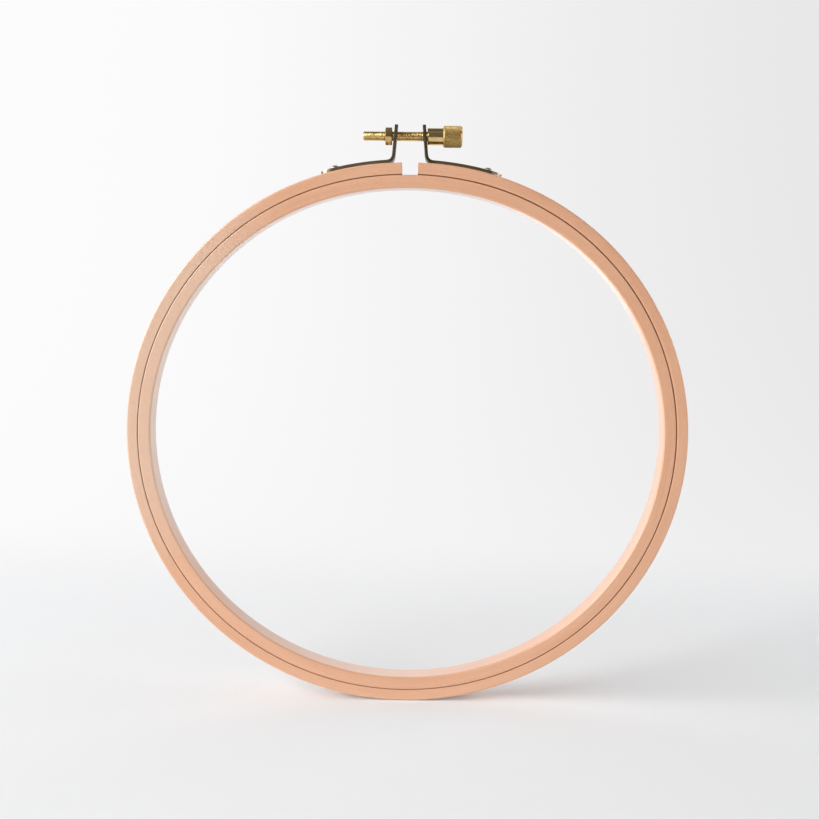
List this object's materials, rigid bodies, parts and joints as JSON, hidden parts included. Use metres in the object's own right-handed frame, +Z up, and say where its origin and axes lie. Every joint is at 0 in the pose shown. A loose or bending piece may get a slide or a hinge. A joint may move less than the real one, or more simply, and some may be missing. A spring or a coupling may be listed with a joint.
{
  "type": "embroidery hoop",
  "caption": "Screw-clamped embroidery hoop: a split outer ring of bent wood drawn round a closed inner ring by a knurled thumb screw through two eared brackets.",
  "frame": {"origin": "on the surface that the hoop stands on, below the middle of the rings", "axes": "+Z up through the split and the ears, +X along the thumb screw towards its knurled head, -Y out of the front"},
  "size_m": [0.1856, 0.008, 0.1912],
  "materials": {
    "outer_beech": "sanded, lightly oiled",
    "inner_beech": "sanded, lightly oiled",
    "bronzed_steel": "bronzed, satin",
    "nickelled_steel": "nickelled, satin",
    "turned_brass": "turned, semi-polished",
    "nut_brass": "machined, semi-polished"
  },
  "bodies": {
    "outer_hoop": {"outer_ring": "outer_beech", "right_bracket": "bronzed_steel", "right_rivet": "nickelled_steel"},
    "left_arm": {"left_bracket": "bronzed_steel", "left_rivet": "nickelled_steel"},
    "screw": {"thumb_screw": "turned_brass"},
    "nut": {"hex_nut": "nut_brass"},
    "inner_hoop": {"inner_ring": "inner_beech"}
  },
  "joints": [
    {"name": "screw_turn", "type": "hinge", "parent": "outer_hoop", "child": "screw", "pos_m": [0, 0, 0.18755], "axis": [1, 0, 0], "range_deg": [0, 4680]},
    {"name": "nut_travel", "type": "slide", "parent": "outer_hoop", "child": "nut", "axis": [-1, 0, 0], "range_m": [0, 0.0065]},
    {"name": "split_opening", "type": "hinge", "parent": "outer_hoop", "child": "left_arm", "pos_m": [0, 0, 0.0019], "axis": [0, -1, 0], "range_deg": [0, 2.01], "deforming": ["outer_ring"]},
    {"name": "inner_hoop_slide", "type": "slide", "parent": "outer_hoop", "child": "inner_hoop", "axis": [0, -1, 0], "range_m": [-0.014, 0.014]}
  ],
  "couplings": [
    {"joint": "nut_travel", "follows": "split_opening", "m_per_rad": 0.18565},
    {"joint": "screw_turn", "follows": "split_opening", "ratio": 2332.9}
  ]
}
